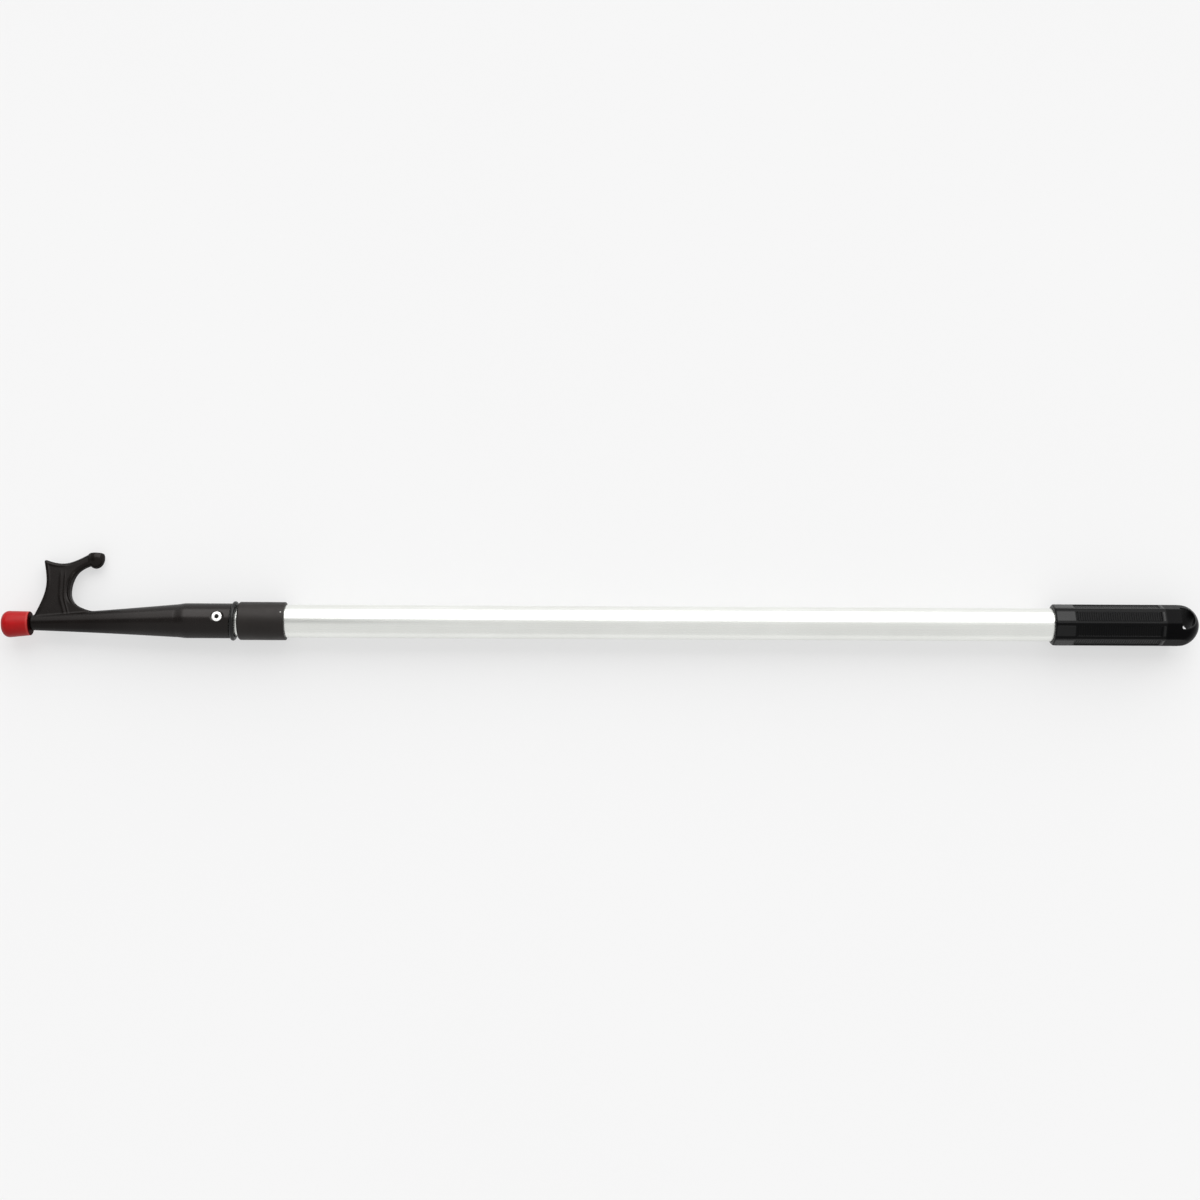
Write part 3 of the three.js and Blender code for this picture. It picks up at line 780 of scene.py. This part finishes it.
def grip_sides(x, y, z):
    out, aside = on_facet(y, z)
    level = flat_level(x, aside)
    core = GRIP_FLAT - GRIP_ROUNDING
    past = np.abs(aside) - core * math.tan(math.pi / 8)
    corner = np.hypot(np.maximum(out - core, 0), np.maximum(past, 0)) - GRIP_ROUNDING
    return np.where(past > 0, corner, out - level)


def grip_envelope(x, y, z):
    radius = np.hypot(y, z)
    length = GRIP_LENGTH - DOME_FRONT
    t = np.maximum((x - DOME_FRONT) / length, 1e-6)
    r = np.maximum(radius / GRIP_CORNER, 1e-6)
    p, q = DOME_POWERS
    steep = np.hypot(p * t ** (p - 1) / length, q * r ** (q - 1) / GRIP_CORNER)
    dome = (t ** p + r ** q - 1) / steep
    front = rounded_edge(radius - GRIP_CORNER - 0.3, -x, GRIP_CHAMFER)
    return np.where(x > DOME_FRONT, np.maximum(dome, front), front)


def hanging_hole(x, y, z):
    aside = y * math.cos(GRIP_TURN) - z * math.sin(GRIP_TURN)
    centre = HOLE_FLAT + HOLE_CORNER
    arc = round_distance((x - centre, aside), (HOLE_LENGTH - HOLE_CORNER, HOLE_HALF_WIDTH))
    return overlap(arc, HOLE_FLAT - x, 1.5)


def grip_field(x, y, z):
    grip = overlap(grip_sides(x, y, z), grip_envelope(x, y, z), 0.5)
    grip = carve(grip, hanging_hole(x, y, z), 0.9)
    bore = np.maximum(np.hypot(y, z) - OUTER_RADIUS - FIT, x - GRIP_BORE_END)
    return carve(grip, bore, 0.5)


GRIP_SHEEN = 0.15
PAD_SHEEN = 0.45
REAR_SHEEN = 0.07
RIM_SHEEN = 0.5


def grip_sheen(points):
    """How much each point of the grip's skin shines: its pads, bars and hole's rim most, its rear least."""
    x, y, z = points.T
    rubbed = ease(-raised_block(x, on_facet(y, z)[1]) / 0.3)
    rear = ease(x - END_BAR[1] - 0.3)
    from_rim = np.hypot(hanging_hole(x, y, z), grip_envelope(x, y, z))
    rim = fade(from_rim, 1.6, 0.6) * fade(x, HOLE_FLAT + 1, HOLE_FLAT + 3)
    sheen = GRIP_SHEEN + (PAD_SHEEN - GRIP_SHEEN) * rubbed + (REAR_SHEEN - GRIP_SHEEN) * rear
    return sheen + (RIM_SHEEN - sheen) * rim


GRIP_LOW = (-1.6, -19.2, -19.2)    # a box round the whole grip
GRIP_HIGH = (GRIP_LENGTH + 1.2, 19.2, 19.2)
GRIP_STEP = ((0.5, 0.7, 0.7))
grip_skin = skin(grip_field, GRIP_LOW, GRIP_HIGH, GRIP_STEP)
grip = make_skin("hand_grip_moulding", grip_skin, GRIP_FRONT)
keep_values(grip, "sheen", grip_sheen(grip_skin[0]))

# ---- Materials ----


class Look:
    """A material made of nodes, on one Principled shader."""

    def __init__(self, name, **constants):
        self.material = bpy.data.materials.new(name)
        self.material.use_nodes = True
        self.nodes = self.material.node_tree.nodes
        self.links = self.material.node_tree.links
        self.shader = self.nodes["Principled BSDF"]
        for socket, value in constants.items():
            self.shader.inputs[socket.replace("_", " ")].default_value = value
        self.place = self.nodes.new("ShaderNodeTexCoord").outputs["Object"]

    def add(self, kind, inputs=None, **settings):
        node = self.nodes.new(kind)
        for key, value in settings.items():
            setattr(node, key, value)
        for key, value in (inputs or {}).items():
            if isinstance(value, bpy.types.NodeSocket):
                self.links.new(value, node.inputs[key])
            else:
                node.inputs[key].default_value = value
        return node

    def stretched(self, scale):
        """Object coordinates stretched by a scale along each axis."""
        return self.add("ShaderNodeMapping", {"Vector": self.place, "Scale": scale}).outputs["Vector"]

    def noise(self, size, detail, roughness=0.5, vector=None):
        """Noise whose patches are about size metres across."""
        node = self.add("ShaderNodeTexNoise", {
            "Vector": vector or self.place,
            "Scale": 1 / size,
            "Detail": detail,
            "Roughness": roughness,
        })
        return node.outputs["Fac"]

    def cells(self, size):
        """Distance to the nearest of many points that are about size metres apart."""
        node = self.add("ShaderNodeTexVoronoi", {"Vector": self.place, "Scale": 1 / size})
        return node.outputs["Distance"]

    def between(self, factor, low, high, start=0.0, end=1.0):
        """A value or colour that goes from low to high as factor goes from start to end."""
        if isinstance(low, tuple):
            node = self.add("ShaderNodeValToRGB", {"Fac": factor})
            ramp = node.color_ramp
            ramp.elements[0].position = start
            ramp.elements[1].position = end
            ramp.elements[0].color = (*low, 1)
            ramp.elements[1].color = (*high, 1)
            return node.outputs["Color"]
        node = self.add("ShaderNodeMapRange", {
            "Value": factor,
            "From Min": start,
            "From Max": end,
            "To Min": low,
            "To Max": high,
        })
        return node.outputs["Result"]

    def mixed(self, factor, a, b):
        node = self.add("ShaderNodeMix", {"Factor": factor}, data_type="RGBA")
        for key, value in (("A", a), ("B", b)):
            socket = [s for s in node.inputs if s.name == key and s.type == "RGBA"][0]
            if isinstance(value, bpy.types.NodeSocket):
                self.links.new(value, socket)
            else:
                socket.default_value = (*value, 1)
        return [s for s in node.outputs if s.type == "RGBA"][0]

    def colour(self, source):
        self.links.new(source, self.shader.inputs["Base Color"])

    def roughness(self, source):
        self.links.new(source, self.shader.inputs["Roughness"])

    def bumps(self, *layers):
        """Bumps from (height source, depth in metres) layers, the first one deepest down."""
        normal = None
        for height, depth in layers:
            node = self.add("ShaderNodeBump", {"Height": height, "Distance": depth, "Strength": 1.0})
            if normal:
                self.links.new(normal, node.inputs["Normal"])
            normal = node.outputs["Normal"]
        self.links.new(normal, self.shader.inputs["Normal"])


def moulded(name, dark, light, rough, grain=0.0004, depth=0.00002, **constants):
    """Moulded plastic: a slow change of tone, a fine spark-eroded grain and faint rubbed patches."""
    look = Look(name, **constants)
    tone = look.noise(0.03, 3, 0.6)
    speck = look.noise(grain, 2, 0.7)
    base = look.between(tone, dark, light, 0.3, 0.7)
    look.colour(look.mixed(look.between(speck, 0.0, 0.35, 0.45, 0.75), base, light))
    rub = look.noise(0.006, 4, 0.65)
    look.roughness(look.between(rub, rough[0], rough[1], 0.3, 0.7))
    look.bumps((rub, depth * 0.4), (speck, depth))
    return look


WARM = (1.0, 0.95, 0.93, 1.0)      # tint of the shine of the brownish blacks


def black_nylon():
    """Glossy, except where the head's own points say that it is scuffed."""
    look = moulded(
        "black_nylon", (0.0024, 0.0016, 0.0013), (0.0048, 0.0036, 0.0031), (0.20, 0.30), 0.0004, 0.000008,
        IOR=1.36, Specular_Tint=WARM)
    scuff = look.add("ShaderNodeAttribute", attribute_name="scuff").outputs["Fac"]
    look.links.new(look.between(scuff, 0.46, 0.0), look.shader.inputs["Specular IOR Level"])
    return look.material


def collar_plastic():
    return moulded(
        "collar_plastic", (0.0062, 0.0050, 0.0043), (0.0105, 0.0088, 0.0078), (0.42, 0.54), 0.0003, 0.00003,
        IOR=1.36, Specular_Tint=WARM).material


def grip_plastic():
    """Dark and glossy. How much it shines is kept with the grip's own points."""
    look = moulded(
        "grip_plastic", (0.0008, 0.0008, 0.0010), (0.0020, 0.0019, 0.0021), (0.22, 0.32), 0.0005, 0.00001,
        IOR=1.36)
    shine = look.add("ShaderNodeAttribute", attribute_name="sheen").outputs["Fac"]
    look.links.new(shine, look.shader.inputs["Specular IOR Level"])
    return look.material


def red_vinyl():
    """Red, with a painted highlight round its rear rim and painted shade behind that, as the cap's own
    points say.
    """
    look = moulded(
        "red_vinyl", (0.265, 0.0006, 0.0015), (0.335, 0.0018, 0.0030), (0.34, 0.46), 0.0006, 0.00002,
        IOR=1.33)
    painted_rim_highlight = look.add("ShaderNodeAttribute", attribute_name="painted_rim_highlight").outputs["Fac"]
    painted_rear_shade = look.add("ShaderNodeAttribute", attribute_name="painted_rear_shade").outputs["Fac"]
    clean = look.shader.inputs["Base Color"].links[0].from_socket
    # Painted highlight: paler red on the band ahead of the rear rim.
    with_painted_highlight = look.mixed(look.between(painted_rim_highlight, 0.0, 0.7), clean, (0.42, 0.045, 0.04))
    # Painted shade: near-black red on the rear bevel and face, whose shine is turned down too.
    look.colour(look.mixed(painted_rear_shade, with_painted_highlight, (0.018, 0.0012, 0.0012)))
    look.links.new(look.between(painted_rear_shade, 0.36, 0.02), look.shader.inputs["Specular IOR Level"])
    return look.material


def black_rubber():
    return moulded(
        "black_rubber", (0.0016, 0.0014, 0.0013), (0.0040, 0.0037, 0.0034), (0.30, 0.42), 0.0002, 0.00002,
        IOR=1.36).material


def anodised_aluminium():
    look = Look("anodised_aluminium", Metallic=1.0)
    die_lines = look.noise(1.0, 3, 0.6, look.stretched((3.0, 1400.0, 1400.0)))
    etch = look.noise(0.00025, 2, 0.7)
    haze = look.noise(0.05, 3, 0.6)
    look.colour(look.between(haze, (0.84, 0.85, 0.815), (0.89, 0.90, 0.865), 0.3, 0.7))
    look.roughness(look.between(die_lines, 0.24, 0.32, 0.3, 0.7))
    look.bumps((die_lines, 0.000004), (etch, 0.000006))
    return look.material


def white_rivet():
    look = Look("white_rivet")
    chips = look.noise(0.0012, 4, 0.7)
    dust = look.noise(0.004, 2)
    paint = look.between(dust, (0.84, 0.84, 0.81), (0.92, 0.92, 0.90), 0.3, 0.7)
    look.colour(look.mixed(look.between(chips, 0.0, 1.0, 0.72, 0.76), paint, (0.55, 0.55, 0.55)))
    look.roughness(look.between(dust, 0.30, 0.42))
    look.bumps((chips, 0.00002))
    return look.material


def steel(name, dark, light, rough):
    look = Look(name, Metallic=1.0)
    brush = look.noise(0.0006, 3, 0.7, look.stretched((1.0, 1.0, 6.0)))
    spots = look.noise(0.0015, 3, 0.6)
    look.colour(look.between(spots, dark, light, 0.3, 0.7))
    look.roughness(look.between(brush, rough[0], rough[1], 0.3, 0.7))
    look.bumps((brush, 0.00001))
    return look.material


def float_foam():
    look = Look("float_foam", Roughness=0.9)
    cell = look.cells(0.0012)
    tone = look.between(look.noise(0.01, 3), (0.78, 0.77, 0.73), (0.86, 0.85, 0.81))
    look.colour(look.mixed(look.between(cell, 0.0, 0.5), tone, (0.70, 0.69, 0.65)))
    look.bumps((cell, 0.0002))
    return look.material


LOOKS = {
    "black_nylon": black_nylon(),
    "collar_plastic": collar_plastic(),
    "grip_plastic": grip_plastic(),
    "red_vinyl": red_vinyl(),
    "black_rubber": black_rubber(),
    "anodised_aluminium": anodised_aluminium(),
    "white_rivet": white_rivet(),
    "mandrel_steel": steel("mandrel_steel", (0.012, 0.012, 0.012), (0.030, 0.030, 0.030), (0.5, 0.65)),
    "zinc_steel": steel("zinc_steel", (0.30, 0.30, 0.29), (0.42, 0.42, 0.40), (0.35, 0.5)),
    "float_foam": float_foam(),
    "natural_nylon": moulded("natural_nylon", (0.70, 0.67, 0.58), (0.78, 0.75, 0.66), (0.4, 0.52)).material,
    "grey_plastic": moulded("grey_plastic", (0.14, 0.15, 0.16), (0.19, 0.20, 0.21), (0.5, 0.62)).material,
}

# ---- Which piece stands for which node ----

near_rivet, near_mandrel = rivets["near"]
far_rivet, far_mandrel = rivets["far"]
PIECES = [
    (head, "inner_pole", "black_nylon", "hook_head"),
    (cap, "inner_pole", "red_vinyl", "tip_cap"),
    (near_rivet, "inner_pole", "white_rivet", "head_rivet_near"),
    (far_rivet, "inner_pole", "white_rivet", "head_rivet_far"),
    (near_mandrel, "inner_pole", "mandrel_steel", "rivet_mandrel_near"),
    (far_mandrel, "inner_pole", "mandrel_steel", "rivet_mandrel_far"),
    (inner_tube, "inner_pole", "anodised_aluminium", "inner_tube"),
    (ring, "inner_pole", "black_rubber", "bumper_ring"),
    (outer_tube, "outer_pole", "anodised_aluminium", "outer_tube"),
    (collar, "outer_pole", "collar_plastic", "front_collar"),
    (pin, "outer_pole", "zinc_steel", "collar_pin"),
    (grip, "outer_pole", "grip_plastic", "hand_grip"),
]
for piece, body, slot, node in PIECES:
    piece.data.materials.append(LOOKS[slot])
    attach(piece, body)
    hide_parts(node)

replaced = {node for _, _, _, node in PIECES}
for part in frame["record"]["subparts"]:
    if part["node"] not in replaced:
        for material_slot in frame["nodes"][part["node"]].material_slots:
            material_slot.material = LOOKS[part["material_slot"]]

# ---- Floor, light and camera ----

scene = bpy.context.scene

ROOM_LIGHT = 0.78
BACKDROP_LIGHT = 0.96
SOFTBOX_LIGHT = 3.0                # added to the room's light
SOFTBOX_TOP = (math.radians(22), math.radians(30))     # from straight up towards +Y, soft edges
SOFTBOX_FOOT = (math.radians(89), math.radians(78))
SOFTBOX_REAR = (0.85, 0.65)        # how far it turns towards either end of the pole
SOFTBOX_FRONT = (-0.46, -0.25)
FLAG_SHADE = 0.6                   # how much a dark flag over the hook takes from the room
FLAG_NEAR = (math.radians(-18), math.radians(-4))
FLAG_FAR = (math.radians(38), math.radians(26))
FLAG_END = (-0.22, -0.38)


def floor():
    """A plain pale sheet that glows a little, so that the shadows on it stay soft."""
    half = 12.0
    corners = [(x, y, 0) for x, y in ((-half, -half), (half, -half), (half, half), (-half, half))]
    made = make("studio_floor", corners, [(0, 1, 2, 3)])
    look = Look("studio_floor", Roughness=0.9, Specular_IOR_Level=0.1, Emission_Strength=0.535)
    pulp = look.noise(0.4, 3)
    look.colour(look.between(pulp, (0.305, 0.305, 0.305), (0.315, 0.315, 0.315)))
    glow = look.between(pulp, (0.99, 0.99, 0.99), (1.0, 1.0, 1.0))
    look.links.new(glow, look.shader.inputs["Emission Color"])
    made.data.materials.append(look.material)


def studio():
    """A pale room with one wide softbox in its sky, on the hook's side, and a dark flag over the hook."""
    world = bpy.data.worlds.new("studio_room")
    world.use_nodes = True
    nodes, links = world.node_tree.nodes, world.node_tree.links

    def eased(source, start, end):
        node = nodes.new("ShaderNodeMapRange")
        node.interpolation_type = "SMOOTHSTEP"
        node.inputs["From Min"].default_value = start
        node.inputs["From Max"].default_value = end
        links.new(source, node.inputs["Value"])
        return node.outputs["Result"]

    def maths(operation, a, b):
        node = nodes.new("ShaderNodeMath")
        node.operation = operation
        for socket, value in zip(node.inputs, (a, b)):
            if isinstance(value, bpy.types.NodeSocket):
                links.new(value, socket)
            else:
                socket.default_value = value
        return node.outputs["Value"]

    direction = nodes.new("ShaderNodeSeparateXYZ")
    links.new(nodes.new("ShaderNodeTexCoord").outputs["Generated"], direction.inputs["Vector"])
    x, y, z = direction.outputs
    over = maths("ARCTAN2", y, z)
    softbox = maths("MULTIPLY", eased(over, *SOFTBOX_TOP), eased(over, *SOFTBOX_FOOT))
    softbox = maths("MULTIPLY", softbox, eased(x, *SOFTBOX_REAR))
    softbox = maths("MULTIPLY", softbox, eased(x, *SOFTBOX_FRONT))
    flag = maths("MULTIPLY", eased(over, *FLAG_NEAR), eased(over, *FLAG_FAR))
    flag = maths("MULTIPLY", flag, eased(x, *FLAG_END))
    room = maths("MULTIPLY", maths("SUBTRACT", 1.0, maths("MULTIPLY", flag, FLAG_SHADE)), ROOM_LIGHT)
    strength = maths("ADD", maths("MULTIPLY", softbox, SOFTBOX_LIGHT), room)
    seen = nodes.new("ShaderNodeLightPath").outputs["Is Camera Ray"]
    backdrop = nodes.new("ShaderNodeMix")
    links.new(seen, backdrop.inputs["Factor"])
    links.new(strength, backdrop.inputs["A"])
    backdrop.inputs["B"].default_value = BACKDROP_LIGHT
    links.new(backdrop.outputs["Result"], nodes["Background"].inputs["Strength"])
    nodes["Background"].inputs["Color"].default_value = (1, 1, 1, 1)
    scene.world = world
    scene.view_settings.view_transform = "Standard"


def camera():
    height = 1.6                    # above the pole's axis
    view_width = 1.0372             # at the height of the pole's axis
    aside = 0.0196                  # from the pole's axis towards the hook
    ahead = 93.5 * MM               # of the middle of the outer tube
    roll = math.radians(0.28)
    sensor = 36.0
    data = bpy.data.cameras.new("camera")
    data.sensor_width = sensor
    data.lens = sensor * height / view_width
    data.clip_start, data.clip_end = 0.05, 100
    made = bpy.data.objects.new("camera", data)
    tube_front, tube_rear = span("outer_tube")
    middle = (tube_front + tube_rear) / 2 * MM
    made.location = (middle - ahead, AXIS_Y + aside, AXIS_Z + height)
    made.rotation_euler = (0, 0, roll)
    scene.collection.objects.link(made)
    scene.camera = made


floor()
studio()
camera()
